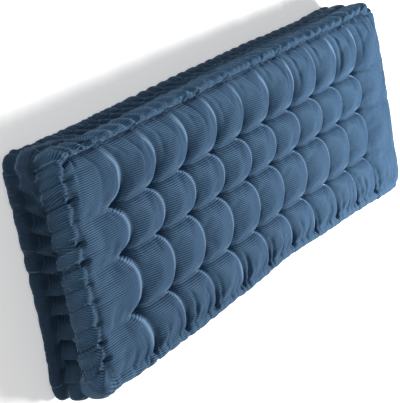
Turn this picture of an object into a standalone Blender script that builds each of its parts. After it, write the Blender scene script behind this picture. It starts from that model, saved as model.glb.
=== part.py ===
"""Tufted bench cushion in wide rib corduroy.

It lies on its back with the tufted face up: +X along the length, +Y along the width, +Z out of the face.
The cover is sewn closed round its filling, so the cushion is one filled solid.
"""

import bpy
import numpy as np

# Whole cushion between its straight edge lines, in metres
LENGTH = 1.200
WIDTH = 0.411
CORNER_RADIUS = 0.034

# How far each edge stands outside its straight line: the corners are pulled out, the middle drawn in
BOW_PLACES = (-0.600, -0.540, -0.450, -0.300, -0.100, 0.060, 0.200, 0.320, 0.420, 0.520, 0.600)
NEAR_EDGE_BOW = (0.014, 0.009, 0.006, 0.005, 0.006, 0.000, 0.002, 0.005, 0.008, 0.013, 0.013)
FAR_EDGE_BOW = (-0.002, -0.006, -0.006, -0.003, 0.000, 0.002, 0.004, 0.004, 0.005, 0.010, 0.011)
END_PLACES = (-0.206, -0.150, -0.090, 0.000, 0.100, 0.206)
LEFT_END_BOW = (0.000, -0.004, -0.006, -0.004, -0.002, 0.000)
RIGHT_END_BOW = (0.004, 0.005, 0.005, 0.005, 0.004, 0.002)
# Share of the half length that an end's bow leaves straight
END_BOW_START = 0.80

# Tufts: ten columns at an even pitch, three rows
TUFT_PITCH = 0.1026
TUFT_COLUMNS = 10
TUFT_ROWS = (-0.1084, -0.0076, 0.0759)

# Heights of the tufted face
FACE_VALLEY_HEIGHT = 0.1115
FACE_CROWN_HEIGHT = 0.1240
FACE_COLUMN_CREASE_DEPTH = 0.0150
FACE_ROW_CREASE_DEPTH = 0.0095
FACE_TUFT_DEPTH = 0.0290

# The back is tufted through as well, with shallower creases and flat crowns that it rests on
BACK_RIM_HEIGHT = 0.0035
BACK_CREASE_DEPTH = 0.008
BACK_TUFT_DEPTH = 0.015
BACK_FLAT_DEPTH = 0.0025

# How far the face and the back stop inside the outline, before the side begins.
# On the face this is the valley beside the rolled rim.
EDGE_INSET = 0.0200

# How far the valley between two pleats stands above the pleats
RIM_SCALLOP = 0.0030

# Steps in each cell of the tufted grid, from the first edge to the last; two steps make one side pocket
STEPS_ALONG = (8,) + (6,) * (TUFT_COLUMNS - 1) + (8,)
STEPS_ACROSS = (6, 6, 6, 8)

# The side from the face rim to the back rim:
# height, inset between two stitches, inset at a stitch of the side channel
SIDE_RINGS = (
    (0.1185, 0.0115, 0.0125),
    (0.1165, 0.0050, 0.0075),
    (0.1080, 0.0006, 0.0040),
    (0.0930, 0.0000, 0.0040),
    (0.0800, 0.0015, 0.0080),
    (0.0725, 0.0060, 0.0140),
    (0.0670, 0.0090, 0.0215),
    (0.0500, 0.0090, 0.0215),
    (0.0430, 0.0050, 0.0125),
    (0.0320, 0.0006, 0.0065),
    (0.0160, 0.0000, 0.0045),
    (0.0050, 0.0040, 0.0065),
)

# Along this length from each corner the side channel runs out
CHANNEL_FADE = 0.055

# Corduroy colour, linear
CORDUROY_COLOUR = (0.052, 0.106, 0.186, 1.0)
CORDUROY_ROUGHNESS = 0.9


def corduroy_material():
    """Blue corduroy of the cover."""
    material = bpy.data.materials.new("corduroy")
    material.use_nodes = True
    shader = material.node_tree.nodes["Principled BSDF"]
    shader.inputs["Base Color"].default_value = CORDUROY_COLOUR
    shader.inputs["Roughness"].default_value = CORDUROY_ROUGHNESS
    shader.inputs["Metallic"].default_value = 0.0
    return material


def tuft_columns():
    """X of the tuft columns, centred on the cushion."""
    return [(k - (TUFT_COLUMNS - 1) / 2) * TUFT_PITCH for k in range(TUFT_COLUMNS)]


def grid_line(cuts, steps):
    """Places of the grid points along one axis, with the place of each in its cell from 0 to 1."""
    places = []
    shares = []
    cells = []
    for k, count in enumerate(steps):
        for step in range(count):
            share = step / count
            places.append(cuts[k] + (cuts[k + 1] - cuts[k]) * share)
            shares.append(share)
            cells.append(k)
    places.append(cuts[-1])
    shares.append(1.0)
    cells.append(len(steps) - 1)
    return np.array(places), np.array(shares), np.array(cells)


def arch(shares, cells, cell_count):
    """Arch of each pillow: 0 on a crease, 1 on the crown. An end cell stays up as far as the rim."""
    inner = np.sqrt(np.clip(1.0 - (2.0 * shares - 1.0) ** 2, 0.0, 1.0))
    first = np.sqrt(np.clip(1.0 - shares ** 2.2, 0.0, 1.0))
    last = np.sqrt(np.clip(1.0 - (1.0 - shares) ** 2.2, 0.0, 1.0))
    return np.where(cells == 0, first, np.where(cells == cell_count - 1, last, inner))


def sinking(shares):
    """How far a crease has sunk on its way to a tuft: 0 midway, 1 at the tufts."""
    return np.abs(2.0 * shares - 1.0) ** 2.4


def rim_share(shares, cells, cell_count):
    """1 on the rim and 0 from the nearest tufts inwards."""
    first = np.where(cells == 0, 1.0 - shares, 0.0)
    last = np.where(cells == cell_count - 1, shares, 0.0)
    return (first + last) ** 3


def pillow_drop(arch_x, arch_y, crease_depth, tuft_depth):
    """Depth below the crown: 0 on a crown, the crease depth between two tufts, the tuft depth on a tuft."""
    on_both = arch_x * arch_y
    on_either = arch_x + arch_y - on_both
    return tuft_depth - (tuft_depth - crease_depth) * on_either - crease_depth * on_both


def round_corner(x, y, half_length, half_width, radius):
    """Move a point of the rectangle so that its corner follows a quarter circle."""
    across = max(0.0, abs(x) - (half_length - radius)) / radius
    along = max(0.0, abs(y) - (half_width - radius)) / radius
    new_across = across * np.sqrt(1.0 - 0.5 * along ** 2)
    new_along = along * np.sqrt(1.0 - 0.5 * across ** 2)
    new_x = x - np.sign(x) * (across - new_across) * radius
    new_y = y - np.sign(y) * (along - new_along) * radius
    return new_x, new_y


def bowed(x, y):
    """Move a point of the straight-edged cushion so that its edges follow the real outline."""
    near = np.interp(x, BOW_PLACES, NEAR_EDGE_BOW)
    far = np.interp(x, BOW_PLACES, FAR_EDGE_BOW)
    left = np.interp(y, END_PLACES, LEFT_END_BOW)
    right = np.interp(y, END_PLACES, RIGHT_END_BOW)
    share_y = min(abs(y) / (WIDTH / 2), 1.0) ** 2
    share_x = min(max((abs(x) / (LENGTH / 2) - END_BOW_START) / (1.0 - END_BOW_START), 0.0), 1.0)
    share_x = share_x * share_x * (3.0 - 2.0 * share_x)
    new_x = x + (right if x > 0 else -left) * share_x
    new_y = y + (far if y > 0 else -near) * share_y
    return new_x, new_y


def face_heights(arch_x, arch_y, sunk_x, sunk_y, rim_x, rim_y):
    """Height of the tufted face at each grid point: creases sink towards the tufts, deepest along the columns."""
    rim = np.maximum(rim_x[:, None], rim_y[None, :])
    column_depth = FACE_COLUMN_CREASE_DEPTH + (FACE_TUFT_DEPTH - FACE_COLUMN_CREASE_DEPTH) * sunk_y
    row_depth = FACE_ROW_CREASE_DEPTH + (FACE_TUFT_DEPTH - FACE_ROW_CREASE_DEPTH) * sunk_x
    column_drop = column_depth[None, :] * (1.0 - arch_x[:, None])
    row_drop = row_depth[:, None] * (1.0 - arch_y[None, :])
    pillows = FACE_CROWN_HEIGHT - np.maximum(column_drop, row_drop)
    scallop = RIM_SCALLOP * np.minimum(arch_x[:, None], arch_y[None, :])
    edge = FACE_VALLEY_HEIGHT - RIM_SCALLOP + scallop
    return pillows * (1.0 - rim) + edge * rim


def back_heights(arch_x, arch_y, rim_x, rim_y):
    """Height of the back at each grid point: crowns pressed flat on the ground at 0."""
    rim = np.maximum(rim_x[:, None], rim_y[None, :])
    drop = pillow_drop(arch_x[:, None], arch_y[None, :], BACK_CREASE_DEPTH, BACK_TUFT_DEPTH)
    pillows = np.maximum(0.0, drop - BACK_FLAT_DEPTH)
    near_rim = np.clip((rim - 0.55) / 0.45, 0.0, 1.0)
    return pillows * (1.0 - rim) + BACK_RIM_HEIGHT * near_rim


def border_walk(count_x, count_y):
    """Grid points round the border, anticlockwise seen from above."""
    walk = [(i, 0) for i in range(count_x - 1)]
    walk += [(count_x - 1, j) for j in range(count_y - 1)]
    walk += [(i, count_y - 1) for i in range(count_x - 1, 0, -1)]
    walk += [(0, j) for j in range(count_y - 1, 0, -1)]
    return walk


def sheet_points(xs, ys, heights):
    """Points of the face or the back, row by row."""
    points = []
    half_x = LENGTH / 2 - EDGE_INSET
    half_y = WIDTH / 2 - EDGE_INSET
    for i, x in enumerate(xs):
        for j, y in enumerate(ys):
            new_x, new_y = bowed(*round_corner(x, y, half_x, half_y, CORNER_RADIUS))
            points.append((new_x, new_y, heights[i, j]))
    return points


def ring_points(walk, xs, ys, ring):
    """Points of one ring round the side; every second one is at a stitch."""
    height, inset_between, inset_stitch = ring
    points = []
    for place, (i, j) in enumerate(walk):
        on_long_side = j in (0, len(ys) - 1)
        from_corner = xs[-1] - abs(xs[i]) if on_long_side else ys[-1] - abs(ys[j])
        drawn_in = min(from_corner / CHANNEL_FADE, 1.0)
        inset = inset_stitch if place % 2 else inset_between
        inset = inset * drawn_in + min(inset_between, inset_stitch / 3) * (1.0 - drawn_in)
        half_x = LENGTH / 2 - inset
        half_y = WIDTH / 2 - inset
        x = xs[i] / xs[-1] * half_x
        y = ys[j] / ys[-1] * half_y
        new_x, new_y = bowed(*round_corner(x, y, half_x, half_y, CORNER_RADIUS))
        points.append((new_x, new_y, height))
    return points


def build_cushion(material):
    """The filled cushion: tufted face, side with two rolls and a stitched channel, tufted back."""
    columns = tuft_columns()
    half_x = LENGTH / 2 - EDGE_INSET
    half_y = WIDTH / 2 - EDGE_INSET
    xs, share_x, cell_x = grid_line([-half_x] + columns + [half_x], STEPS_ALONG)
    ys, share_y, cell_y = grid_line([-half_y] + list(TUFT_ROWS) + [half_y], STEPS_ACROSS)
    arch_x = arch(share_x, cell_x, len(STEPS_ALONG))
    arch_y = arch(share_y, cell_y, len(STEPS_ACROSS))
    sunk_x = sinking(share_x)
    sunk_y = sinking(share_y)
    rim_x = rim_share(share_x, cell_x, len(STEPS_ALONG))
    rim_y = rim_share(share_y, cell_y, len(STEPS_ACROSS))
    count_x = len(xs)
    count_y = len(ys)
    walk = border_walk(count_x, count_y)
    around = len(walk)

    points = sheet_points(xs, ys, face_heights(arch_x, arch_y, sunk_x, sunk_y, rim_x, rim_y))
    for ring in SIDE_RINGS:
        points += ring_points(walk, xs, ys, ring)
    back_start = len(points)
    points += sheet_points(xs, ys, back_heights(arch_x, arch_y, rim_x, rim_y))
    points = np.array(points)
    middle = 0.5 * (points.min(0) + points.max(0))
    points -= (middle[0], middle[1], 0.0)

    faces = []
    for i in range(count_x - 1):
        for j in range(count_y - 1):
            a = i * count_y + j
            b = a + count_y
            faces.append((a, b, b + 1, a + 1))
            faces.append((back_start + a, back_start + a + 1, back_start + b + 1, back_start + b))
    loops = [[i * count_y + j for i, j in walk]]
    for k in range(len(SIDE_RINGS)):
        first = count_x * count_y + k * around
        loops.append(list(range(first, first + around)))
    loops.append([back_start + i * count_y + j for i, j in walk])
    for upper, lower in zip(loops, loops[1:]):
        for k in range(around):
            after = (k + 1) % around
            faces.append((upper[k], lower[k], lower[after], upper[after]))

    mesh = bpy.data.meshes.new("cushion")
    mesh.from_pydata(points.tolist(), [], faces)
    mesh.materials.append(material)
    for polygon in mesh.polygons:
        polygon.use_smooth = True
    mesh.update()
    cushion = bpy.data.objects.new("cushion", mesh)
    bpy.context.collection.objects.link(cushion)
    return cushion


def main():
    """Empty the scene and build the cushion."""
    for old in list(bpy.data.objects):
        bpy.data.objects.remove(old, do_unlink=True)
    build_cushion(corduroy_material())


main()
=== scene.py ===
"""Looks of the tufted bench cushion: blue wide rib corduroy over a soft filling, lying on its back.

Lengths are in metres. X runs along the length, Y across it from the near to the far edge, Z out of the face.
"""

import math

import bpy
import numpy as np
from mathutils import Matrix, Vector


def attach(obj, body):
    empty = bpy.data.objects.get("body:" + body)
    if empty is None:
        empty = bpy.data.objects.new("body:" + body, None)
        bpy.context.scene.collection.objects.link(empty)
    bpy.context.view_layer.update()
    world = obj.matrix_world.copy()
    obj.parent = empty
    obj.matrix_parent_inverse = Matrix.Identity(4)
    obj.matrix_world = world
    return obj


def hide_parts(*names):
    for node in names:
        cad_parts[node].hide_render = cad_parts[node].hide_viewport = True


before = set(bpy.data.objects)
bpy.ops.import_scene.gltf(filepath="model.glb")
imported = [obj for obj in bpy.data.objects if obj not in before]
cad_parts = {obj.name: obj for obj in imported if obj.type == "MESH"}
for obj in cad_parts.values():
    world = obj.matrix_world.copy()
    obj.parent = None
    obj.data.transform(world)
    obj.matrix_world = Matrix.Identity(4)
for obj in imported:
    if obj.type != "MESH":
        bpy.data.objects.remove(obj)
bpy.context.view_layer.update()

# Whole cushion between its straight edge lines
LENGTH = 1.200
WIDTH = 0.411
CORNER_RADIUS = 0.034
# The face panel ends this far inside those lines, in the valley beside the rolled rim
VALLEY_INSET = 0.0200
PANEL_X = LENGTH / 2 - VALLEY_INSET
PANEL_Y = WIDTH / 2 - VALLEY_INSET

# Tufts, and the lines that part the face into pillows
TUFT_PITCH = 0.1026
TUFTS_IN_ROW = 10
TUFT_COLUMNS = [(k - (TUFTS_IN_ROW - 1) / 2) * TUFT_PITCH for k in range(TUFTS_IN_ROW)]
TUFT_ROWS = [-0.1084, -0.0076, 0.0759]
COLUMN_CUTS = [-PANEL_X] + TUFT_COLUMNS + [PANEL_X]
ROW_CUTS = [-PANEL_Y] + TUFT_ROWS + [PANEL_Y]

# Heights of the face, and depths of its creases under the crown
VALLEY_HEIGHT = 0.1110
CROWN_HEIGHT = 0.1240
TUFT_DEPTH = 0.0262
COLUMN_CREASE_DEPTH = 0.0150
BORDER_CREASE_DEPTH = 0.0170
ROW_CREASE_DEPTH = 0.0105
ROW_CREASE_WIDTH = 0.0110
# Depth that a row crease keeps at the left and at the right end
LEFT_ROW_DEPTH = 0.0085
RIGHT_ROW_DEPTH = 0.0008
# Share of its pillow over which a crease rises from the last tuft
COLUMN_RISE = 0.50
LEFT_ROW_RISE = 0.45
RIGHT_ROW_RISE = 0.30
# How sharply a crease sinks to its tufts
COLUMN_SAG = 3.4
ROW_SAG = 4.0
# Share of a border pillow at which its crown lies, counted from the valley
BORDER_CROWN = 0.62
# Share of a border pillow at which the line of its tufts starts, and over which it deepens
LINE_START = 0.35
LINE_REACH = 0.65
# Share of an end pillow, and of a long side's pillow, that dips to the valley
END_DIP = 0.80
LONG_DIP = 0.40
# The higher, the more the deepest of several drops wins
BLEND_POWER = 4.0
# Unevenness of the crowns: height, lengths of the shortest and the longest wave, how many waves
WAVE_HEIGHT = 0.0015
WAVE_LENGTHS = (0.15, 0.50)
WAVE_COUNT = 14
# How far the creases along the columns bow out between the tufts, and lean back at the far rim
INNER_BULGE = 0.0235
NEAR_BULGE = 0.0270
FAR_BULGE = 0.0330
FAR_LEAN = 0.0160
BULGE_FADE = 0.080
NEAR_ARC_START = 0.25
# On the near edge and the right end the face rolls over without a valley, which is filled by this much
RIM_FILL = 0.0058
LEFT_FILL_SHARE = 0.80
FILL_REACH = 0.050
FILL_FADE_X = 0.100
FILL_FADE_Y = 0.060

# The back: depths of its creases and tufts, and how much of the crowns lies pressed flat
BACK_CREASE_DEPTH = 0.0080
BACK_TUFT_DEPTH = 0.0070
BACK_FLAT_DEPTH = 0.0025
BACK_EDGE = 0.030

# Side profile from the valley of the face to the border of the back. Columns: inset between stitches,
# inset at a stitch, height between stitches, height at a stitch, share of the channel
SIDE_PROFILE = (
    (0.0200, 0.0200, 0.1110, 0.1100, 0.0),
    (0.0165, 0.0180, 0.1150, 0.1110, 0.0),
    (0.0120, 0.0150, 0.1185, 0.1130, 0.0),
    (0.0070, 0.0115, 0.1190, 0.1135, 0.0),
    (0.0025, 0.0080, 0.1150, 0.1100, 0.0),
    (0.0004, 0.0055, 0.1065, 0.1050, 0.0),
    (0.0000, 0.0035, 0.0970, 0.0970, 0.0),
    (0.0004, 0.0040, 0.0870, 0.0870, 0.0),
    (0.0020, 0.0065, 0.0760, 0.0760, 0.0),
    (0.0045, 0.0110, 0.0680, 0.0680, 0.3),
    (0.0085, 0.0250, 0.0620, 0.0620, 0.9),
    (0.0095, 0.0300, 0.0480, 0.0480, 1.0),
    (0.0085, 0.0250, 0.0345, 0.0345, 0.9),
    (0.0045, 0.0100, 0.0295, 0.0295, 0.3),
    (0.0016, 0.0050, 0.0235, 0.0235, 0.0),
    (0.0000, 0.0030, 0.0150, 0.0150, 0.0),
    (0.0025, 0.0045, 0.0070, 0.0070, 0.0),
    (0.0090, 0.0110, 0.0010, 0.0015, 0.0),
    (0.0200, 0.0200, 0.0000, 0.0000, 0.0),
)
# Heights between which the side is the band of the channel, with its ribs along the edge
BAND_TOP = 0.0630
BAND_FOOT = 0.0330
# Insets over which the fill of the valley fades out on the rolled rim, and height over which the bulge does
FILL_INSET = 0.0115
FILL_INSET_FADE = 0.0085
LEAN_FADE = 0.045

# Sides in the order of their random draws: whether it is an end, and whether it is the far or right one
SIDES = {"near": (False, False), "right": (True, True), "far": (False, True), "left": (True, False)}
# Side stitches. Columns: lean of the creases along the side, firmness
STITCHES = {"near": (0.25, 0.20), "right": (0.35, 0.07), "far": (0.25, 1.30), "left": (0.35, 1.00)}
STITCH_PITCH = 0.0343
NICK_WIDTH = 0.0045
# Random ranges of the stitches: shift along the side, strength, place and strength of the twin crease
STITCH_SHIFTS = (-0.004, 0.004)
STRENGTHS = (0.55, 1.25)
TWIN_PLACES = (0.005, 0.011)
TWIN_STRENGTHS = (0.1, 0.6)
# A pocket of the channel, in shares of the way from stitch to stitch: full depth, end, length of its rise
POCKET_START = 0.14
POCKET_END = 0.92
POCKET_RISE = 0.45
# The channel is shallower at the corners and on the far side
LONG_CHANNEL_START = 0.045
LONG_CHANNEL_FADE = 0.120
FAR_END_FADE = 0.110
NEAR_END_FADE = 0.030
CORNER_CHANNEL = 0.05
FAR_CHANNEL = 0.60

# How far each edge stands outside its straight line: the corners are pulled out, the middle drawn in
BOW_PLACES = (-0.600, -0.540, -0.450, -0.300, -0.100, 0.060, 0.200, 0.320, 0.420, 0.520, 0.600)
NEAR_EDGE_BOW = (0.013, 0.004, 0.006, 0.007, 0.004, -0.003, 0.007, 0.011, 0.016, 0.023, 0.027)
FAR_EDGE_BOW = (0.000, -0.004, -0.005, -0.002, 0.003, 0.005, 0.007, 0.006, 0.006, 0.012, 0.011)
END_PLACES = (-0.206, -0.150, -0.090, 0.000, 0.100, 0.206)
LEFT_END_BOW = (0.006, -0.002, -0.006, -0.004, -0.001, 0.003)
RIGHT_END_BOW = (0.016, 0.015, 0.013, 0.012, 0.008, -0.009)
# Share of the half length that an end's bow leaves straight, and the share over which it comes in
BOW_START = 0.80
BOW_FADE = 0.20
# At the near left corner the back reaches out by this much, and the face falls back by a part of it
CORNER_SPREAD = 0.012
FACE_FALLS_BACK = 1.6
# Middle of the bowed outline's box, which is put at the origin
BOX_MIDDLE = (0.0026, -0.0012)

# Mesh step of the cloth before its last subdivision
CLOTH_STEP = 0.0048
SPLINE_PARTS = 8

# How firmly the cover is held while the filling swells, 1 being fixed
CREASE_HOLD = 0.85
CREASE_START = 0.80
CREASE_RANGE = 0.20
TUFT_START = 0.60
SIDE_HOLD = 0.15
CHANNEL_START = 0.80
CHANNEL_HOLD = 0.70
POCKET_HOLD = 0.30
BACK_ROLL_HOLD = 0.80
BACK_ROLL_TOP = 0.030
HOLD_LEVELS = 20
# The swelling itself
FILLING = {
    "quality": 4,
    "mass": 0.3,
    "tension_stiffness": 12.0,
    "compression_stiffness": 12.0,
    "shear_stiffness": 4.0,
    "bending_stiffness": 0.15,
    "use_pressure": True,
    "uniform_pressure_force": 4.0,
    "shrink_min": -0.025,
    "pin_stiffness": 1.0,
}
SWELL_FRAMES = 14
SWELL_LIMIT = 0.012

# Fine folds of the border pillows, in the order of their random draws.
# Columns: how many per pillow, half width, depth, reach from the rim, depth of the seam line at the rim
FOLDS = {
    "far": (3, 0.0036, 0.0062, 0.085, 0.0038),
    "near": (4, 0.0034, 0.0052, 0.065, 0.0010),
    "left": (3, 0.0050, 0.0040, 0.060, 0.0014),
    "right": (2, 0.0060, 0.0010, 0.045, 0.0010),
}
# Random ranges of the folds: place in its part of a pillow, lean, and shares of the reach and of the depth
FOLD_PLACES = (0.15, 0.85)
FOLD_LEANS = (-0.20, 0.05)
FOLD_REACHES = (0.5, 1.2)
FOLD_DEPTHS = (0.35, 1.15)
FOLD_OVER_RIM = 0.024
FOLD_ZONE = 0.120
SEAM_WIDTH = 0.0036
# Height above which the cloth belongs to the face and its rolled rim
FACE_FOOT = 0.085
# Crease line of each column where it crosses the near rim
COLUMN_LINE_WIDTH = 0.0044
COLUMN_LINE_DEPTH = 0.0060
COLUMN_LINE_START = 0.030
COLUMN_LINE_FADE = 0.025
COLUMN_OVER_RIM = 0.034
# Thin crease line along the rows of tufts, and the share of its depth that it keeps midway between two tufts
ROW_LINE_WIDTH = 0.0038
ROW_LINE_DEPTH = 0.0038
ROW_LINE_MIDWAY = 0.35
ROW_LINE_FADE = 0.06

# Creases that the side stitches press into the rolls: half width, depth on the front and on the back roll
FINE_WIDTH = 0.0030
FRONT_ROLL_CREASE = 0.0080
BACK_ROLL_CREASE = 0.0042
# Weaker creases beside each one. Columns: place as a share of the stitch's own twin crease, strength
WEAK_CREASES = ((0.8, 0.55), (-0.7, 0.45), (1.5, 0.35))
WEAK_WIDTH = 0.8
# Columns: how far in the creases of the front roll reach, and how much of them the top of the rim hides
ROLL_CREASES = {"near": (0.027, 0.25), "right": (0.027, 0.50), "far": (0.027, 0.25), "left": (0.034, 0.0)}
ROLL_ZONE = 0.034
# How far the creases run from the rolls into the band, and the height over which they fade at the ground
FRONT_INTO_BAND = 0.010
BACK_INTO_BAND = 0.006
GROUND_FADE = 0.008
BACK_REACH = 0.030
CREASE_FADE = 0.012
RIM_TOP = 0.102
CORNER_FADE = 0.035

# Painted shade in creases, pockets and on parts turned from the light, 1 being darkest. Columns: half width,
# strength
CREASE_SHADE = 0.55
DARK_COLUMN = (0.0050, 1.00)
DARK_ROW = (0.0050, 0.60)
DARK_LEFT_RIM = (0.0080, 1.30)
DARK_FAR_RIM = (0.0050, 1.20)
COLUMN_EVEN_DARK = 0.001
ROW_SHADE_END = 0.06
ROW_SHADE_FADE = 0.05
# Painted shade on the rolled edge of the near and right sides, in the valley by the left rim and on the left
# end; how much lighter its pockets are
EDGE_SHADE = 0.95
LEFT_VALLEY_SHADE = 0.70
END_SHADE = 0.36
END_POCKET_LIGHTER = 0.45
# Where the left end's shade runs on along the far side: X of its end, and the length of its fade
FAR_CORNER_X = -0.44
FAR_CORNER_FADE = 0.10
# Inset inside which the rolled rim turns to the face, heights of its shoulder and of the left end's shade
SHOULDER_INSET = 0.010
SHOULDER_INSET_FADE = 0.008
SHOULDER_HEIGHT = 0.1175
SHOULDER_FADE = 0.004
END_SHADE_TOP = 0.118
END_SHADE_FADE = 0.006
# The left end's shade gets darker towards the back: height of its start, fade, and how much darker
BACK_SHADE_TOP = 0.045
BACK_SHADE_FADE = 0.030
BACK_SHADE_MORE = 0.50
# Painted highlight along a pillow's shoulders. Columns: place as a share, half width, strength
HIGHLIGHT_FAR = (0.88, 0.055, 1.0)
HIGHLIGHT_NEAR = (0.09, 0.060, 0.6)
# Shares of a pillow: over which the far shoulder fades at the rim, where the near one starts, and its fade
HIGHLIGHT_RIM_FADE = 0.30
HIGHLIGHT_NEAR_START = 0.35
HIGHLIGHT_NEAR_FADE = 0.50
# Share of the painted rib light and shade on the last pillows of each row and on the back roll
RIBS_AT_RIGHT = 0.25
RIBS_ON_BACK_ROLL = 0.60
FRONT_RIBS_FROM = 0.06
FRONT_RIBS_FADE = 0.03
# Shares of a pillow where its painted rib light and shade end and fade; how strong it is at its near edge,
# and gain from there
RIBS_END = 0.62
RIBS_FADE = 0.45
RIBS_AT_NEAR = 0.55
RIBS_GAIN = 0.45
RIBS_RISE = 0.70

# Cloth: pitch of the ribs, and heights of the ribs, the nap and the fuzz
RIB_PITCH = 0.0037
RIB_WOBBLE = 0.0005
RIB_RELIEF = 0.0009
NAP_RELIEF = 0.0005
FUZZ_RELIEF = 0.0002
# Noises of the cloth. Columns: scale, detail
WOBBLE = (60.0, 2.0)
CRUSH = (9.0, 3.0)
NAP = (220.0, 3.0)
FUZZ = (1400.0, 2.0)
ROUGHNESS = 0.82
NAP_ROUGHNESS = 0.20
SHEEN_ROUGHNESS = 0.18
SPECULAR = 0.20
# Colours of the cloth
DEEP = (0.014, 0.041, 0.089, 1.0)
BODY = (0.031, 0.083, 0.163, 1.0)
LIGHT = (0.061, 0.138, 0.240, 1.0)
# Painted shade in the grooves and painted light on the ridges of the ribs
PAINTED_GROOVE_SHADE = (0.003, 0.011, 0.030, 1.0)
PAINTED_RIDGE_LIGHT = (0.068, 0.156, 0.270, 1.0)
# Painted highlight on the pillows' shoulders
PAINTED_HIGHLIGHT = (0.190, 0.320, 0.480, 1.0)
# Painted shade low on the sides and on the back
PAINTED_SIDE_SHADE = (0.014, 0.030, 0.052, 1.0)
# Painted shade in creases, pockets, edges and on the left end
PAINTED_SHADE = (0.004, 0.010, 0.020, 1.0)
SHEEN = (0.40, 0.66, 1.0, 1.0)
# Towards the right end the ribs fade and the cloth gets lighter. Columns: X of its start, X of its end, share
# of ribs lost
RIGHT_END_FADE = (-0.10, 0.30, 0.50)
MEAN_CORD = 0.72
# Heights between which painted shade darkens the cloth of the sides, and its strongest share
SIDE_SHADE_FOOT = 0.070
SIDE_SHADE_TOP = 0.108
SIDE_SHADE_SHARE = 0.62
# How much of the light nap shows: everywhere, by the crush marks, by the nap, and more towards the right end
LIGHT_SHARE = 0.18
CRUSH_LIGHT = 1.3
NAP_LIGHT = 0.9
RIGHT_END_NAP_LIGHT = 3.0
RIGHT_END_LIGHT = 0.2
# Share of the painted highlight
PAINTED_HIGHLIGHT_SHARE = 0.95
# Share of the painted shade
PAINTED_SHADE_SHARE = 0.60

# Camera, worked out from the photograph for a cushion of this length
CAMERA_PLACE = (-2.0059, 0.5771, 1.3147)
CAMERA_TURN = (-2.60470783, 0.42198341, -1.42172835)
CAMERA_LENS = 111.13
CAMERA_FAR = 50.0
SENSOR = 36.0

# Studio. Columns of the lights: place, target, size, power
LIGHTS = {
    "key": ((1.5, -0.8, 1.9), (0.1, 0.0, 0.1), 0.7, 108.0),
    "fill": ((-1.7, 1.6, 0.9), (-0.4, 0.0, 0.06), 0.5, 6.5),
}
WORLD_STRENGTH = 0.24
WHITE = (1.0, 1.0, 1.0, 1.0)
FLOOR_COLOUR = (0.92, 0.92, 0.92, 1.0)
FLOOR_GLOW = 0.40
FLOOR_HALF = 12.0
FLOOR_LEVEL = -0.0005

RANDOM = np.random.default_rng(7)


def smooth(share):
    """Smooth step of a share from 0 to 1."""
    share = np.clip(share, 0.0, 1.0)
    return share * share * (3.0 - 2.0 * share)


def bell(offset, width):
    """1 at no offset, falling off smoothly over the width."""
    return np.exp(-(offset / width) ** 2)


def remaining(share, reach):
    """What is left at a share of the way: 1 at its start, 0 from the reach on."""
    return np.clip(1.0 - share / reach, 0.0, 1.0)


def nearest(places, lines):
    """Distance of each place from the nearest line."""
    return np.abs(places[..., None] - np.array(lines)).min(-1)


def sag(share, power):
    """How far a crease has sunk on its way to a tuft: 0 midway, 1 at the tufts."""
    return np.abs(2.0 * share - 1.0) ** power


def round_wall(from_crown):
    """Drop of a pillow on its way from the crown, 0, to a crease, 1."""
    from_crown = np.clip(from_crown, 0.0, 1.0)
    return 0.5 * from_crown ** 2.2 + 0.5 * (1.0 - np.sqrt(1.0 - from_crown ** 2.4))


def inner_arch(share):
    """Arch of a pillow between two creases."""
    return 1.0 - round_wall(np.abs(2.0 * share - 1.0))


def border_arch(share):
    """Arch of a border pillow: share 0 in the valley by the rim, 1 on the tuft line."""
    rise = np.clip(1.0 - (1.0 - share / BORDER_CROWN) ** 2, 0.0, 1.0) ** 0.85
    beyond = np.maximum(share - BORDER_CROWN, 0.0) / (1.0 - BORDER_CROWN)
    fall = np.clip(1.0 - beyond ** 2.3, 0.0, 1.0) ** 0.55
    return np.where(share < BORDER_CROWN, rise, fall)


def waves(x, y):
    """Soft uneven field made of a few random sine waves, about -1 to 1."""
    length = RANDOM.uniform(*WAVE_LENGTHS, WAVE_COUNT)
    turn = RANDOM.uniform(0.0, 2.0 * math.pi, WAVE_COUNT)
    along_x = 2.0 * math.pi * np.cos(turn) / length
    along_y = 2.0 * math.pi * np.sin(turn) / length
    phase = RANDOM.uniform(0.0, 2.0 * math.pi, WAVE_COUNT)
    total = np.sin(x[..., None] * along_x + y[..., None] * along_y + phase).sum(-1)
    return total * math.sqrt(2.0 / WAVE_COUNT) * 0.5


def spline(table, step):
    """Smooth curve through the rows of a table, resampled so that its inset and height advance evenly."""
    rows = np.array(table, float)
    padded = np.vstack([2 * rows[0] - rows[1], rows, 2 * rows[-1] - rows[-2]])
    fine = []
    for k in range(len(rows) - 1):
        a, b, c, d = padded[k:k + 4]
        for t in np.arange(SPLINE_PARTS) / SPLINE_PARTS:
            bend = (2 * a - 5 * b + 4 * c - d) * t ** 2
            turn = (3 * b - a - 3 * c + d) * t ** 3
            fine.append(0.5 * (2 * b + (c - a) * t + bend + turn))
    fine.append(rows[-1])
    fine = np.array(fine)
    steps = np.hypot(np.diff(fine[:, 0]), np.diff(fine[:, 2]))
    run = np.concatenate([[0.0], np.cumsum(steps)])
    wanted = np.linspace(0.0, run[-1], round(run[-1] / step) + 1)
    return np.stack([np.interp(wanted, run, column) for column in fine.T], 1), wanted


def round_corner(x, y, half_x, half_y):
    """Move points of the rectangle so that its corners follow quarter circles."""
    radius = CORNER_RADIUS
    across = np.maximum(0.0, np.abs(x) - (half_x - radius)) / radius
    along = np.maximum(0.0, np.abs(y) - (half_y - radius)) / radius
    new_x = x - np.sign(x) * across * (1.0 - np.sqrt(1.0 - 0.5 * np.minimum(along, 1.0) ** 2)) * radius
    new_y = y - np.sign(y) * along * (1.0 - np.sqrt(1.0 - 0.5 * np.minimum(across, 1.0) ** 2)) * radius
    return new_x, new_y


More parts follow.
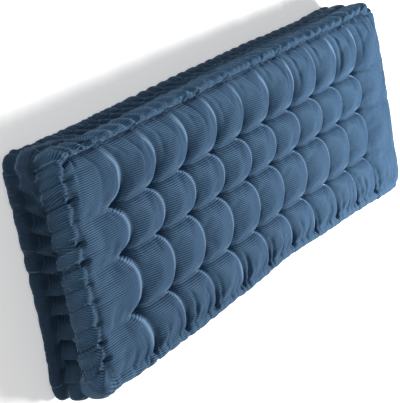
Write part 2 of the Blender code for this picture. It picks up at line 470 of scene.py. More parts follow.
def bowed(x, y, z):
    """Move points of the straight-edged cushion so that its edges follow the real outline."""
    near = np.interp(x, BOW_PLACES, NEAR_EDGE_BOW)
    far = np.interp(x, BOW_PLACES, FAR_EDGE_BOW)
    left = np.interp(y, END_PLACES, LEFT_END_BOW)
    right = np.interp(y, END_PLACES, RIGHT_END_BOW)
    at_left = smooth((-x / (LENGTH / 2) - BOW_START) / BOW_FADE)
    near = near + CORNER_SPREAD * at_left * (1.0 - FACE_FALLS_BACK * (z / CROWN_HEIGHT) ** 2)
    share_y = np.clip(np.abs(y) / (WIDTH / 2), 0.0, 1.0) ** 2
    share_x = smooth((np.abs(x) / (LENGTH / 2) - BOW_START) / BOW_FADE)
    new_x = x + np.where(x > 0, right, -left) * share_x
    new_y = y + np.where(y > 0, far, -near) * share_y
    return new_x, new_y


def grid_line(cuts, step):
    """Places of the grid points along one axis, the share of each in its cell, and its cell."""
    places = []
    shares = []
    cells = []
    for cell, (start, end) in enumerate(zip(cuts, cuts[1:])):
        count = 2 * round((end - start) / step / 2)
        share = np.arange(count) / count
        places.append(start + (end - start) * share)
        shares.append(share)
        cells.append(np.full(count, cell))
    places.append([cuts[-1]])
    shares.append([1.0])
    cells.append([len(cuts) - 2])
    return np.concatenate(places), np.concatenate(shares), np.concatenate(cells)


class Grid:
    """Flat grid of the face panel, with what each point needs to know about its pillow."""

    def __init__(self):
        x, share_x, cell_x = grid_line(COLUMN_CUTS, CLOTH_STEP)
        y, share_y, cell_y = grid_line(ROW_CUTS, CLOTH_STEP)
        self.count_x = len(x)
        self.count_y = len(y)
        self.size = self.count_x * self.count_y
        self.x, self.y = np.meshgrid(x, y, indexing="ij")
        self.share_x, self.share_y = np.meshgrid(share_x, share_y, indexing="ij")
        cell_x, cell_y = np.meshgrid(cell_x, cell_y, indexing="ij")
        self.first_x = cell_x == 0
        self.first_y = cell_y == 0
        self.final_x = cell_x == len(TUFT_COLUMNS)
        self.final_y = cell_y == len(TUFT_ROWS)
        self.at_end = self.first_x | self.final_x
        self.at_long_side = self.first_y | self.final_y
        self.arch_x = self.arches(self.share_x, self.first_x, self.final_x)
        self.arch_y = self.arches(self.share_y, self.first_y, self.final_y)
        self.line_x = self.tuft_lines(self.share_x, self.first_x, self.final_x)
        self.line_y = self.tuft_lines(self.share_y, self.first_y, self.final_y)
        self.from_row = nearest(self.y, TUFT_ROWS)

    @staticmethod
    def arches(share, first, final):
        """Arch of each pillow along one axis."""
        border = np.where(first, border_arch(share), border_arch(1.0 - share))
        return np.where(first | final, border, inner_arch(share))

    @staticmethod
    def tuft_lines(share, first, final):
        """1 on a line of tufts, 0 on the crown between two lines and from there out to the rim."""
        at_first = round_wall((share - LINE_START) / LINE_REACH)
        at_final = round_wall((LINE_REACH - share) / LINE_REACH)
        border = np.where(first, at_first, at_final)
        return np.where(first | final, border, 1.0 - inner_arch(share))


def without_valley(grid):
    """1 where the border of the face rolls over without a valley: near edge, right end, left end in part."""
    along_end = smooth((PANEL_Y - grid.y) / FILL_FADE_Y)
    near = smooth((grid.x + PANEL_X) / FILL_FADE_X) * smooth(1.0 - (grid.y + PANEL_Y) / FILL_REACH)
    right = along_end * smooth(1.0 - (PANEL_X - grid.x) / FILL_REACH)
    left = LEFT_FILL_SHARE * along_end * smooth(1.0 - (PANEL_X + grid.x) / FILL_REACH)
    return np.maximum(np.maximum(near, right), left)


def face_heights(grid):
    """Height of the tufted face."""
    to_rim_x = np.where(grid.first_x, 1.0 - grid.share_x, np.where(grid.final_x, grid.share_x, 0.0))
    to_rim_y = np.where(grid.first_y, 1.0 - grid.share_y, np.where(grid.final_y, grid.share_y, 0.0))

    # Creases along the tuft columns, which run on to the long rims
    column_depth = COLUMN_CREASE_DEPTH + (TUFT_DEPTH - COLUMN_CREASE_DEPTH) * sag(grid.share_y, COLUMN_SAG)
    risen = remaining(to_rim_y, COLUMN_RISE) ** 2
    border_depth = BORDER_CREASE_DEPTH + (TUFT_DEPTH - BORDER_CREASE_DEPTH) * risen
    column_depth = np.where(grid.at_long_side, border_depth, column_depth)
    column_wall = np.where(grid.at_end, grid.line_x, 1.0 - grid.arch_x)

    # Softer creases along the tuft rows, which fade towards the short rims
    row_depth = ROW_CREASE_DEPTH + (TUFT_DEPTH - ROW_CREASE_DEPTH) * sag(grid.share_x, ROW_SAG)
    at_left = TUFT_DEPTH * remaining(to_rim_x, LEFT_ROW_RISE) ** 2 + LEFT_ROW_DEPTH
    at_right = TUFT_DEPTH * remaining(to_rim_x, RIGHT_ROW_RISE) ** 2 + RIGHT_ROW_DEPTH
    row_depth = np.where(grid.at_end, np.where(grid.final_x, at_right, at_left), row_depth)
    trough = bell(grid.from_row, ROW_CREASE_WIDTH)
    cusp = (1.0 - np.sin(math.pi * grid.share_y)) ** 1.15
    cusp = np.where(grid.at_long_side, remaining(to_rim_y, 0.45) ** 1.6, cusp)
    by_column = np.where(grid.at_end, 0.5, sag(grid.share_x, 1.5))
    row_wall = trough * (1.0 - by_column) + cusp * by_column

    # Rims: the panel dips into the valley beside the rolled edge
    valley = CROWN_HEIGHT - VALLEY_HEIGHT - RIM_FILL * without_valley(grid)
    dip_x = np.where(grid.at_end, valley * remaining(1.0 - to_rim_x, END_DIP) ** 1.4, 0.0)
    dip_y = np.where(grid.at_long_side, valley * remaining(1.0 - to_rim_y, LONG_DIP) ** 2, 0.0)

    drops = (column_depth * column_wall, row_depth * row_wall, dip_x, dip_y)
    drop = sum(np.maximum(one, 0.0) ** BLEND_POWER for one in drops) ** (1.0 / BLEND_POWER)
    return CROWN_HEIGHT + WAVE_HEIGHT * waves(grid.x, grid.y) - drop


def back_heights(grid):
    """Height of the back: shallower creases and tufts, crowns pressed flat on the ground."""
    pillow = grid.arch_x * grid.arch_y
    drop = BACK_CREASE_DEPTH * (1.0 - pillow) + BACK_TUFT_DEPTH * grid.line_x * grid.line_y
    over_x = np.abs(grid.x) - (PANEL_X - BACK_EDGE)
    over_y = np.abs(grid.y) - (PANEL_Y - BACK_EDGE)
    edge = np.maximum(over_x, over_y) / BACK_EDGE
    return np.maximum(0.0, drop - BACK_FLAT_DEPTH) * (1.0 - smooth(edge))


def bulge(grid):
    """How far the pillows lean along the length between the tufts, so that their edges bow out."""
    arc = np.sin(math.pi * grid.share_y)
    near_arc = np.sin(math.pi * (NEAR_ARC_START + (1.0 - NEAR_ARC_START) * grid.share_y))
    amount = np.where(grid.first_y, NEAR_BULGE * near_arc, INNER_BULGE * arc)
    amount = np.where(grid.final_y, FAR_BULGE * arc - FAR_LEAN * grid.share_y ** 1.5, amount)
    return amount * smooth((PANEL_X - np.abs(grid.x)) / BULGE_FADE)


def painted_highlights(grid):
    """Painted highlight along each pillow's right shoulder and the right half of its near edge: 0 to 1."""
    place, width, strength = HIGHLIGHT_FAR
    to_rim = np.where(grid.first_y, grid.share_y, np.where(grid.final_y, 1.0 - grid.share_y, 1.0))
    far_edge = np.where(grid.final_x, 0.0, strength * bell(grid.share_x - place, width))
    far_edge = far_edge * smooth(to_rim / HIGHLIGHT_RIM_FADE)
    place, width, strength = HIGHLIGHT_NEAR
    from_start = (grid.share_x - HIGHLIGHT_NEAR_START) / HIGHLIGHT_NEAR_FADE
    near_edge = bell(grid.share_y - place, width) * smooth(from_start)
    near_edge = strength * np.where(grid.first_y | grid.final_x, 0.0, near_edge)
    return np.clip(far_edge + near_edge, 0.0, 1.0)


def painted_crease_shade(grid):
    """Painted shade in the creases and along the left and far rims: 0 to 1."""
    from_column = np.maximum(nearest(grid.x, TUFT_COLUMNS) - COLUMN_EVEN_DARK, 0.0)
    before_last = ~grid.final_x | (grid.share_x < 0.5)
    between_ends = smooth((PANEL_X - ROW_SHADE_END - np.abs(grid.x)) / ROW_SHADE_FADE)
    creases = (
        (DARK_COLUMN, from_column, before_last),
        (DARK_ROW, grid.from_row, between_ends),
        (DARK_LEFT_RIM, grid.x + PANEL_X, 1.0),
        (DARK_FAR_RIM, PANEL_Y - grid.y, 1.0),
    )
    darkest = np.zeros(grid.x.shape)
    for (width, strength), offset, share in creases:
        darkest = np.maximum(darkest, strength * bell(offset, width) * share)
    return CREASE_SHADE * darkest


def painted_rib_contrast(grid):
    """Painted light and shade on the ribs, strongest on the left and far part of each pillow, turned from the
    light: 0 to 1.
    """
    rising = smooth((RIBS_END - grid.share_x) / RIBS_FADE)
    upper = RIBS_AT_NEAR + RIBS_GAIN * smooth(grid.share_y / RIBS_RISE)
    return np.where(grid.final_x, RIBS_AT_RIGHT, rising) * upper


class Stitches:
    """Side stitches along one side of the cushion."""

    def __init__(self, half, lean, firmness):
        count = round(2 * half / STITCH_PITCH)
        pitch = 2 * half / count
        even = (np.arange(count) - (count - 1) / 2) * pitch
        self.lean = lean
        self.places = even + RANDOM.uniform(*STITCH_SHIFTS, count)
        self.strength = RANDOM.uniform(*STRENGTHS, count) * firmness
        self.twin = RANDOM.uniform(*TWIN_PLACES, count) * RANDOM.choice([-1.0, 1.0], count)
        self.twin_strength = RANDOM.uniform(*TWIN_STRENGTHS, count) * firmness
        self.ends = np.concatenate([[-half - pitch / 2], self.places, [half + pitch / 2]])

    def offsets(self, run, height):
        """Offset of each point from each crease; above the band the creases lean along the side."""
        leaned = run - self.lean * np.maximum(0.0, height - BAND_TOP)
        return leaned[:, None] - self.places

    def nick(self, run, height):
        """How strongly the creases cut into the rolls, each with a weaker twin beside it."""
        offset = self.offsets(run, height)
        main = bell(offset, NICK_WIDTH) * self.strength
        twin = bell(offset - self.twin, WEAK_WIDTH * NICK_WIDTH) * self.twin_strength
        return np.maximum(main, twin).max(1)

    def crease(self, run, height):
        """The same creases as thin lines, each with a few weaker ones beside it."""
        offset = self.offsets(run, height)
        lines = bell(offset, FINE_WIDTH) * self.strength
        for shift, share in WEAK_CREASES:
            beside = bell(offset - shift * self.twin, WEAK_WIDTH * FINE_WIDTH)
            lines = np.maximum(lines, beside * self.strength * share)
        return lines.max(1)

    def pocket(self, run):
        """Depth of the channel: deepest just below each stitch, rising to the next one."""
        cell = np.clip(np.searchsorted(self.ends, run), 1, len(self.ends) - 1)
        share = (self.ends[cell] - run) / (self.ends[cell] - self.ends[cell - 1])
        return np.clip(share / POCKET_START, 0.0, 1.0) * smooth((POCKET_END - share) / POCKET_RISE)


class Border:
    """Grid points round the face panel, anticlockwise seen from above, and the side that hangs on them."""

    def __init__(self, grid):
        nx = grid.count_x
        ny = grid.count_y
        to_right = np.arange(nx - 1)
        to_far = np.arange(ny - 1)
        i = np.concatenate([to_right, np.full(ny - 1, nx - 1), np.arange(nx - 1, 0, -1), 0 * to_far])
        j = np.concatenate([0 * to_right, to_far, np.full(nx - 1, ny - 1), np.arange(ny - 1, 0, -1)])
        self.count = len(i)
        self.index = i * ny + j
        self.x = grid.x[i, j]
        self.y = grid.y[i, j]
        self.far = j == ny - 1
        self.left = i == 0
        on_side = {"near": j == 0, "right": i == nx - 1, "far": self.far, "left": self.left}
        self.parts = {}
        for name, (end, _) in SIDES.items():
            run, half = (self.y, PANEL_Y) if end else (self.x, PANEL_X)
            self.parts[name] = (on_side[name], run, Stitches(half, *STITCHES[name]))
        self.pocket = np.zeros(self.count)
        for mask, run, stitches in self.parts.values():
            self.pocket[mask] = stitches.pocket(run[mask])
        self.settled = without_valley(grid)[i, j]
        self.leaning = bulge(grid)[i, j]
        self.drawn_in = self.channel_share(on_side["near"] | self.far)
        far_corner = self.far * smooth((FAR_CORNER_X - self.x) / FAR_CORNER_FADE)
        self.left_end = np.maximum(self.left * 1.0, far_corner)

    def channel_share(self, on_long):
        """How deep the channel is drawn in: less near the corners."""
        from_corner = np.where(on_long, PANEL_X - np.abs(self.x), PANEL_Y - np.abs(self.y))
        end_fade = np.where(self.y > 0, FAR_END_FADE, NEAR_END_FADE)
        at_end = CORNER_CHANNEL + (1.0 - CORNER_CHANNEL) * smooth(from_corner / end_fade)
        at_long = smooth((from_corner - LONG_CHANNEL_START) / LONG_CHANNEL_FADE)
        share = np.where(on_long, at_long, at_end)
        return np.where(self.far, FAR_CHANNEL * share, share)

    def ring(self, row):
        """Points of the side along one row of its profile."""
        inset_between, inset_stitch, height_between, height_stitch, channel = row
        nick = np.zeros(self.count)
        for mask, run, stitches in self.parts.values():
            nick[mask] = stitches.nick(run[mask], height_between)
        pull = nick * (1.0 - channel) + self.pocket * channel
        inset = inset_between + (inset_stitch - inset_between) * pull
        inset = inset * (1.0 - channel * (1.0 - self.drawn_in))
        height = height_between + (height_stitch - height_between) * pull
        if height_between > BAND_TOP:
            filled = np.clip((inset_between - FILL_INSET) / FILL_INSET_FADE, 0.0, 1.0)
            height = height + RIM_FILL * self.settled * filled
        half_x = LENGTH / 2 - inset
        half_y = WIDTH / 2 - inset
        x, y = round_corner(self.x / PANEL_X * half_x, self.y / PANEL_Y * half_y, half_x, half_y)
        x = x + self.leaning * smooth((height_between - BAND_TOP) / LEAN_FADE)
        return np.stack([x, y, height], -1)

    def shade(self, row):
        """Painted shade along one row of the profile: 0 to 1."""
        inset, _, height, _, channel = row
        on_rim = height > BAND_TOP
        shoulder = smooth((SHOULDER_HEIGHT - height) / SHOULDER_FADE) * (on_rim and inset < SHOULDER_INSET)
        valley = smooth((inset - SHOULDER_INSET) / SHOULDER_INSET_FADE) * on_rim
        # Painted shade on the rolled edge of the near and right sides, and in the valley by the left rim
        edge = EDGE_SHADE * shoulder * self.settled * ~self.far * ~self.left
        edge = edge + LEFT_VALLEY_SHADE * valley * self.left
        # Painted shade on the left end, darker towards the back
        downward = 1.0 + BACK_SHADE_MORE * smooth((BACK_SHADE_TOP - height) / BACK_SHADE_FADE)
        painted_end_shade = END_SHADE * self.left_end * downward
        painted_end_shade = painted_end_shade * smooth((END_SHADE_TOP - height) / END_SHADE_FADE)
        # Painted shade in the pockets of the channel, less of it on the left end
        pocket = channel * self.pocket * self.drawn_in * (1.0 - END_POCKET_LIGHTER * self.left)
        return np.maximum(pocket, np.maximum(edge, painted_end_shade))

    def outward(self):
        """Direction away from the face at each point, seen from above."""
        inner = round_corner(self.x, self.y, PANEL_X, PANEL_Y)
        outer_x = self.x / PANEL_X * LENGTH / 2
        outer_y = self.y / PANEL_Y * WIDTH / 2
        outer = round_corner(outer_x, outer_y, LENGTH / 2, WIDTH / 2)
        out = np.stack(outer, -1) - np.stack(inner, -1)
        return out / np.linalg.norm(out, axis=1, keepdims=True)


def cloth_faces(grid, border, profile, arc):
    """Faces of the closed cushion, and the cloth coordinates of their corners."""
    numbers = np.arange(grid.size).reshape(grid.count_x, grid.count_y)
    corners = (numbers[:-1, :-1], numbers[1:, :-1], numbers[1:, 1:], numbers[:-1, 1:])
    quads = np.stack(corners, -1).reshape(-1, 4)
    ring_count = len(profile) - 2
    back_start = grid.size + ring_count * border.count
    sheet_uv = np.stack([grid.x, grid.y], -1).reshape(-1, 2)
    faces = [quads, back_start + quads[:, ::-1]]
    uvs = [sheet_uv[quads], sheet_uv[quads[:, ::-1]]]

    round_once = np.arange(border.count)
    after = (round_once + 1) % border.count
    rings = [grid.size + k * border.count + round_once for k in range(ring_count)]
    loops = [border.index] + rings + [back_start + border.index]
    flat = np.stack([border.x, border.y], -1)
    lengths = np.linalg.norm(np.diff(flat, axis=0), axis=1)
    run = np.concatenate([[0.0], np.cumsum(lengths)])
    out = border.outward()
    middle = 0.5 * (profile[:-1, 2] + profile[1:, 2])
    for k, (upper, lower) in enumerate(zip(loops, loops[1:])):
        faces.append(np.stack([upper, lower, lower[after], upper[after]], -1))
        on_band = BAND_FOOT <= middle[k] <= BAND_TOP
        if on_band:
            first, second = [np.stack([run, np.full(border.count, place)], -1) for place in arc[k:k + 2]]
        else:
            from_sheet = arc if middle[k] > BAND_TOP else arc[-1] - arc
            first, second = [flat + out * place for place in from_sheet[k:k + 2]]
        ring_uv = np.stack([first, second, second[after], first[after]], 1)
        if on_band:
            ring_uv[-1, 2:, 0] = run[-1] + CLOTH_STEP
        uvs.append(ring_uv)
    return np.concatenate(faces), np.concatenate(uvs).reshape(-1, 2)


def sewn_down(grid, border, rows):
    """How firmly each point is held while the filling swells: 1 is fixed."""
    lines = np.maximum(1.0 - grid.arch_x, 1.0 - grid.arch_y)
    on_crease = np.clip((lines - CREASE_START) / CREASE_RANGE, 0.0, 1.0) * CREASE_HOLD
    on_tuft = ((grid.line_x > TUFT_START) & (grid.line_y > TUFT_START)).astype(float)
    holds = [np.maximum(on_crease, on_tuft).ravel()]
    for _, _, height, _, channel in rows:
        hold = np.full(border.count, SIDE_HOLD)
        if channel > CHANNEL_START:
            hold = CHANNEL_HOLD + POCKET_HOLD * border.pocket
        if height < BACK_ROLL_TOP:
            hold = np.full(border.count, BACK_ROLL_HOLD)
        holds.append(hold)
    return np.concatenate(holds + [np.ones(grid.size)])


def build_form():
    """The cushion before it swells, how firmly each point is held, and the stitches of each side."""
    grid = Grid()
    border = Border(grid)
    profile, arc = spline(SIDE_PROFILE, CLOTH_STEP)
    rows = profile[1:-1]
    flat_x, flat_y = round_corner(grid.x, grid.y, PANEL_X, PANEL_Y)
    face = np.stack([flat_x + bulge(grid), flat_y, face_heights(grid)], -1).reshape(-1, 3)
    back = np.stack([flat_x, flat_y, back_heights(grid)], -1).reshape(-1, 3)
    points = np.concatenate([face] + [border.ring(row) for row in rows] + [back])
    points[:, 0], points[:, 1] = bowed(*points.T)
    points[:, :2] -= BOX_MIDDLE
    faces, uvs = cloth_faces(grid, border, profile, arc)

    mesh = bpy.data.meshes.new("corduroy_cushion")
    mesh.from_pydata(points.tolist(), [], faces.tolist())
    mesh.uv_layers.new(name="cloth").data.foreach_set("uv", uvs.astype(np.float32).ravel())
    mesh.polygons.foreach_set("use_smooth", np.ones(len(faces), bool))
    bare = np.zeros(grid.size)
    no_shade = np.zeros(border.count)
    # Painted light and shade kept for each point: painted highlights, painted light and shade on the ribs,
    # and painted shade
    to_front = smooth((rows[:, 2] - FRONT_RIBS_FROM) / FRONT_RIBS_FADE)
    rib_shares = RIBS_ON_BACK_ROLL + (1.0 - RIBS_ON_BACK_ROLL) * to_front
    shades = {
        "painted_highlight": (painted_highlights(grid), [no_shade for row in rows]),
        "painted_rib_light": (painted_rib_contrast(grid), [no_shade + share for share in rib_shares]),
        "painted_shade": (painted_crease_shade(grid), [border.shade(row) for row in rows]),
    }
    for name, (on_face, on_side) in shades.items():
        values = np.concatenate([on_face.ravel()] + on_side + [bare]).astype(np.float32)
        mesh.attributes.new(name, "FLOAT", "POINT").data.foreach_set("value", values)
    mesh.update()
    piece = bpy.data.objects.new("corduroy_cushion", mesh)
    bpy.context.collection.objects.link(piece)
    stitches = {name: part[2] for name, part in border.parts.items()}
    return piece, sewn_down(grid, border, rows), stitches


def vectors(items, name):
    """One vector of each item of a mesh, as the rows of an array."""
    values = np.empty(len(items) * 3)
    items.foreach_get(name, values)
    return values.reshape(-1, 3)


def swell(piece, holds):
    """Let the filling push the cover out between the places where it is sewn down."""
    start = vectors(piece.data.vertices, "co")
    group = piece.vertex_groups.new(name="sewn_down")
    levels = np.round(holds * HOLD_LEVELS).astype(int)
    for level in np.unique(levels):
        if level > 0:
            group.add(np.nonzero(levels == level)[0].tolist(), level / HOLD_LEVELS, "REPLACE")
    cloth = piece.modifiers.new("filling", "CLOTH")
    for name, value in FILLING.items():
        setattr(cloth.settings, name, value)
    cloth.settings.vertex_group_mass = group.name
    cloth.settings.effector_weights.gravity = 0.0
    cloth.collision_settings.use_collision = False
    cloth.point_cache.frame_start = 1
    cloth.point_cache.frame_end = SWELL_FRAMES
    scene = bpy.context.scene
    for step in range(1, SWELL_FRAMES + 1):
        scene.frame_set(step)
    swollen = piece.evaluated_get(bpy.context.evaluated_depsgraph_get()).data
    end = vectors(swollen.vertices, "co")
    piece.modifiers.remove(cloth)
    scene.frame_set(1)
    move = end - start
    size = np.linalg.norm(move, axis=1, keepdims=True)
    move *= SWELL_LIMIT * np.tanh(size / SWELL_LIMIT) / np.maximum(size, 1e-9)
    end = start + move
    end[:, 2] = np.maximum(end[:, 2], 0.0)
    piece.data.vertices.foreach_set("co", end.ravel())
    piece.data.update()
    piece.vertex_groups.clear()


def cloth_places(mesh):
    """Cloth coordinates of each point of the mesh."""
    corner = np.empty(len(mesh.loops), np.int32)
    mesh.loops.foreach_get("vertex_index", corner)
    flat = np.empty(len(mesh.loops) * 2, np.float32)
    mesh.uv_layers["cloth"].data.foreach_get("uv", flat)
    places = np.zeros((len(mesh.vertices), 2))
    places[corner] = flat.reshape(-1, 2)
    return places[:, 0], places[:, 1]


class Folds:
    """Fine folds that run from one rim into its border pillows."""

    def __init__(self, cuts, count, width, depth, reach):
        start = np.repeat(cuts[:-1], count)
        wide = np.repeat(np.diff(cuts), count)
        order = np.tile(np.arange(count), len(cuts) - 1)
        size = len(start)
        self.width = width
        self.places = start + wide * (order + RANDOM.uniform(*FOLD_PLACES, size)) / count
        self.lean = RANDOM.uniform(*FOLD_LEANS, size)
        self.reach = reach * RANDOM.uniform(*FOLD_REACHES, size)
        self.depth = depth * RANDOM.uniform(*FOLD_DEPTHS, size)

    def press(self, run, from_rim):
        """Depth of the folds at points of the cloth."""
        from_rim = from_rim[:, None]
        offset = run[:, None] - self.places - self.lean * from_rim
        fade = remaining(from_rim, self.reach) ** 0.8 * smooth(1.0 + from_rim / FOLD_OVER_RIM)
        return (self.depth * fade * bell(offset, self.width)).max(1)


def face_folds(mesh, height):
    """Depth of the fine folds, the seam line and the thin creases on the face and its rims."""
    x, y = cloth_places(mesh)
    on_face = height > FACE_FOOT
    pressed = np.zeros(len(height))
    rims = {
        "far": (COLUMN_CUTS, x, PANEL_Y - y),
        "near": (COLUMN_CUTS, x, PANEL_Y + y),
        "left": (ROW_CUTS, y, PANEL_X + x),
        "right": (ROW_CUTS, y, PANEL_X - x),
    }
    for name, (count, width, depth, reach, seam_depth) in FOLDS.items():
        cuts, run, from_rim = rims[name]
        mine = on_face & (from_rim < FOLD_ZONE) & (from_rim > -FOLD_OVER_RIM)
        folded = Folds(cuts, count, width, depth, reach).press(run[mine], from_rim[mine])
        seam = seam_depth * bell(from_rim[mine], SEAM_WIDTH)
        pressed[mine] = np.maximum(pressed[mine], np.maximum(folded, seam))

    # The creases along the columns run on over the near rim
    from_rim = PANEL_Y + y
    over_rim = smooth((COLUMN_LINE_START - from_rim) / COLUMN_LINE_FADE)
    over_rim = over_rim * smooth(1.0 + from_rim / COLUMN_OVER_RIM) * on_face
    column_line = COLUMN_LINE_DEPTH * over_rim * bell(nearest(x, TUFT_COLUMNS), COLUMN_LINE_WIDTH)

    # Thin creases along the rows, strongest where they reach a tuft
    to_tuft = 0.5 + 0.5 * np.cos(2.0 * math.pi * (x / TUFT_PITCH + 0.5))
    inside = smooth((PANEL_X - TUFT_PITCH * 0.5 - np.abs(x)) / ROW_LINE_FADE) * on_face
    row_depth = ROW_LINE_DEPTH * (ROW_LINE_MIDWAY + (1.0 - ROW_LINE_MIDWAY) * to_tuft) * inside
    row_line = row_depth * bell(nearest(y, TUFT_ROWS), ROW_LINE_WIDTH)
    return np.maximum(np.maximum(pressed, column_line), row_line)


def press_creases(piece, stitches):
    """Press the narrow creases that each side stitch draws into the two rolls, and the folds of the face."""
    mesh = piece.data
    points = vectors(mesh.vertices, "co")
    normals = vectors(mesh.vertex_normals, "vector")
    inside_x = LENGTH / 2 - np.abs(points[:, 0])
    inside_y = WIDTH / 2 - np.abs(points[:, 1])
    height = points[:, 2]
    edge = np.minimum(inside_x, inside_y)
    on_end = inside_x < inside_y
    run = np.where(on_end, points[:, 1], points[:, 0])
    from_corner = np.where(on_end, inside_y, inside_x)
    beyond = np.where(on_end, points[:, 0] > 0, points[:, 1] > 0)
    front = smooth((height - BAND_TOP + FRONT_INTO_BAND) / CREASE_FADE)
    back = smooth((BAND_FOOT - height + BACK_INTO_BAND) / CREASE_FADE)
    back = back * smooth(height / GROUND_FADE) * smooth((BACK_REACH - edge) / CREASE_FADE)
    hidden = smooth((height - RIM_TOP) / CREASE_FADE)
    depth = np.zeros(len(points))
    for name, (end, side) in SIDES.items():
        reach, hidden_share = ROLL_CREASES[name]
        mine = (on_end == end) & (beyond == side) & (edge < ROLL_ZONE)
        on_front = front[mine] * smooth((reach - edge[mine]) / CREASE_FADE)
        on_front = on_front * (1.0 - hidden_share * hidden[mine])
        lines = stitches[name].crease(run[mine], height[mine])
        depth[mine] = lines * (on_front * FRONT_ROLL_CREASE + back[mine] * BACK_ROLL_CREASE)
    depth *= smooth(from_corner / CORNER_FADE)
    depth = np.maximum(depth, face_folds(mesh, height))
    points -= normals * depth[:, None]
    points[:, 2] = np.maximum(points[:, 2], 0.0)
    mesh.vertices.foreach_set("co", points.ravel())
    mesh.update()


class Socket:
    """A node's output that takes part in Python sums: each operator adds its Math node."""

    def __init__(self, paint, link):
        self.paint = paint
        self.link = link

    def _sum(self, operation, first, second):
        return self.paint.node("ShaderNodeMath", {"operation": operation}, {0: first, 1: second})

    def __add__(self, other):
        return self._sum("ADD", self, other)

    def __radd__(self, other):
        return self._sum("ADD", other, self)

    def __sub__(self, other):
        return self._sum("SUBTRACT", self, other)

    def __rsub__(self, other):
        return self._sum("SUBTRACT", other, self)

    def __mul__(self, other):
        return self._sum("MULTIPLY", self, other)

    def __rmul__(self, other):
        return self._sum("MULTIPLY", other, self)

    def __pow__(self, other):
        return self._sum("POWER", self, other)

    def __abs__(self):
        return self._sum("ABSOLUTE", self, 0.0)


class Paint:
    """One material and its nodes."""

    def __init__(self, name):
        self.material = bpy.data.materials.new(name)
        self.material.use_nodes = True
        self.tree = self.material.node_tree
        self.shader = self.tree.nodes["Principled BSDF"]

    def node(self, kind, settings=None, inputs=None, output=0):
        """Any node: its settings first, then the values or links of its sockets."""
        made = self.tree.nodes.new(kind)
        for name, value in (settings or {}).items():
            setattr(made, name, value)
        for name, value in (inputs or {}).items():
            self.feed(made.inputs[name], value)
        return Socket(self, made.outputs[output])

    def feed(self, socket, value):
        """Link a socket or set its value."""
        if isinstance(value, Socket):
            self.tree.links.new(value.link, socket)
        else:
            socket.default_value = value

    def mix(self, share, first, second):
        """Colour between two colours."""
        inputs = {"Factor": share, 6: first, 7: second}
        return self.node("ShaderNodeMix", {"data_type": "RGBA"}, inputs, output=2)

    def ramp(self, value, start, end, at_start, at_end):
        """Straight change between two values, level outside them."""
        return self.node("ShaderNodeMapRange", {}, {0: value, 1: start, 2: end, 3: at_start, 4: at_end})

    def axis(self, vector, number):
        """One coordinate of a vector."""
        return self.node("ShaderNodeSeparateXYZ", {}, {0: vector}, output=number)

    def attribute(self, name):
        """Number that the mesh holds for each point."""
        return self.node("ShaderNodeAttribute", {"attribute_name": name}, output=2)

    def sine(self, value):
        return self.node("ShaderNodeMath", {"operation": "SINE"}, {0: value})

    def noise(self, vector, scale, detail):
        """Noise from 0 to 1."""
        return self.node("ShaderNodeTexNoise", {}, {"Vector": vector, "Scale": scale, "Detail": detail})


def corduroy():
    """Wide rib corduroy: rounded cords with dark grooves, nap, faint crush marks, with painted highlights on
    the pillows, painted light and shade on the ribs, and painted shade in creases, pockets and on the sides.
    """
    paint = Paint("corduroy")
    place = paint.node("ShaderNodeTexCoord", output=3)
    cloth = paint.node("ShaderNodeUVMap", {"uv_map": "cloth"})
    wobble = paint.noise(cloth, *WOBBLE) - 0.5
    crush = paint.noise(place, *CRUSH) - 0.42
    nap = paint.noise(place, *NAP) - 0.5
    fuzz = paint.noise(place, *FUZZ) - 0.5

    rib = abs(paint.sine((paint.axis(cloth, 1) + wobble * RIB_WOBBLE) * (math.pi / RIB_PITCH)))
    # Towards the right end the ribs fade and the cloth gets lighter
    fade_start, fade_end, fade_share = RIGHT_END_FADE
    flat = paint.ramp(paint.axis(place, 0), fade_start, fade_end, 0.0, fade_share)
    cord = (rib ** 0.9) * (1.0 - flat) + flat * MEAN_CORD
    side_shade = paint.ramp(paint.axis(place, 2), SIDE_SHADE_FOOT, SIDE_SHADE_TOP, 1.0, 0.0)

    plain_ribs = paint.mix(cord, DEEP, BODY)
    # Painted light and shade on the ribs where the light grazes them
    shade = paint.mix(paint.attribute("painted_rib_light"), plain_ribs, paint.mix(cord, PAINTED_GROOVE_SHADE, PAINTED_RIDGE_LIGHT))
    nap_light = nap * (flat * RIGHT_END_NAP_LIGHT + NAP_LIGHT)
    lighter = crush * CRUSH_LIGHT + nap_light + LIGHT_SHARE + flat * RIGHT_END_LIGHT
    colour = paint.mix(0.35 + cord * 0.5, shade, paint.mix(lighter, shade, LIGHT))
    # Painted highlight on the pillows' shoulders
    colour = paint.mix(paint.attribute("painted_highlight") * PAINTED_HIGHLIGHT_SHARE, colour, PAINTED_HIGHLIGHT)
    # Painted shade low on the sides and on the back
    colour = paint.mix(side_shade * SIDE_SHADE_SHARE, colour, PAINTED_SIDE_SHADE)
    # Painted shade in creases, pockets, edges and on the left end
    colour = paint.mix(paint.attribute("painted_shade") * PAINTED_SHADE_SHARE, colour, PAINTED_SHADE)
    paint.feed(paint.shader.inputs["Base Color"], colour)
    paint.feed(paint.shader.inputs["Roughness"], ROUGHNESS + nap * NAP_ROUGHNESS)
    height = cord * RIB_RELIEF + nap * NAP_RELIEF + fuzz * FUZZ_RELIEF
    bump = paint.node("ShaderNodeBump", {}, {"Strength": 1.0, "Distance": 1.0, "Height": height})
    paint.feed(paint.shader.inputs["Normal"], bump)
    paint.shader.inputs["Sheen Weight"].default_value = 1.0
    paint.shader.inputs["Sheen Roughness"].default_value = SHEEN_ROUGHNESS
    paint.shader.inputs["Sheen Tint"].default_value = SHEEN
    paint.shader.inputs["Specular IOR Level"].default_value = SPECULAR
    return paint.material


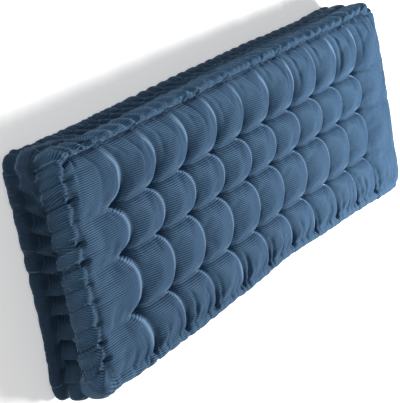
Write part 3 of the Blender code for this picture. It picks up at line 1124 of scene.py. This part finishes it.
def pale_floor():
    """Plain pale floor, wide enough to fill the photograph's view."""
    mesh = bpy.data.meshes.new("floor")
    size = FLOOR_HALF
    corners = [(-size, -size, 0), (size, -size, 0), (size, size, 0), (-size, size, 0)]
    mesh.from_pydata(corners, [], [(0, 1, 2, 3)])
    floor = bpy.data.objects.new("floor", mesh)
    bpy.context.collection.objects.link(floor)
    floor.location.z = FLOOR_LEVEL
    paint = Paint("floor_paper")
    paint.shader.inputs["Base Color"].default_value = FLOOR_COLOUR
    paint.shader.inputs["Roughness"].default_value = 0.9
    paint.shader.inputs["Emission Color"].default_value = WHITE
    paint.shader.inputs["Emission Strength"].default_value = FLOOR_GLOW
    mesh.materials.append(paint.material)


def area_light(name, place, target, size, power):
    """Square studio light at a place, facing a target."""
    data = bpy.data.lights.new(name, "AREA")
    data.shape = "SQUARE"
    data.size = size
    data.energy = power
    light = bpy.data.objects.new(name, data)
    light.location = place
    light.rotation_euler = (Vector(target) - Vector(place)).to_track_quat("-Z", "Y").to_euler()
    bpy.context.collection.objects.link(light)


def studio():
    """Soft studio light from beyond the right end, and a pale surround."""
    world = bpy.data.worlds.new("studio")
    world.use_nodes = True
    background = world.node_tree.nodes["Background"]
    background.inputs["Color"].default_value = WHITE
    background.inputs["Strength"].default_value = WORLD_STRENGTH
    bpy.context.scene.world = world
    for name, (place, target, size, power) in LIGHTS.items():
        area_light(name, place, target, size, power)


def photo_camera():
    """Camera at the photograph's place and turn."""
    turn = Vector(CAMERA_TURN)
    world_to_lens = Matrix.Rotation(turn.length, 3, turn.normalized())
    flip = Matrix(((1, 0, 0), (0, -1, 0), (0, 0, -1)))
    lens_to_world = (flip @ world_to_lens).transposed()
    data = bpy.data.cameras.new("photo_camera")
    data.sensor_width = SENSOR
    data.lens = CAMERA_LENS
    data.clip_end = CAMERA_FAR
    camera = bpy.data.objects.new("photo_camera", data)
    camera.matrix_world = Matrix.Translation(CAMERA_PLACE) @ lens_to_world.to_4x4()
    bpy.context.collection.objects.link(camera)
    bpy.context.scene.camera = camera


def dress_cushion():
    """The cushion itself: form, swelling, last subdivision, creases, cloth."""
    piece, holds, stitches = build_form()
    swell(piece, holds)
    finer = piece.modifiers.new("finer", "SUBSURF")
    finer.levels = 1
    finer.render_levels = 1
    evaluated = piece.evaluated_get(bpy.context.evaluated_depsgraph_get())
    plain = bpy.data.meshes.new_from_object(evaluated)
    piece.modifiers.remove(finer)
    piece.data = plain
    press_creases(piece, stitches)
    piece.data.materials.append(corduroy())
    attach(piece, "root")
    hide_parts("cushion")


bpy.context.scene.view_settings.view_transform = "Standard"
photo_camera()
pale_floor()
studio()
dress_cushion()
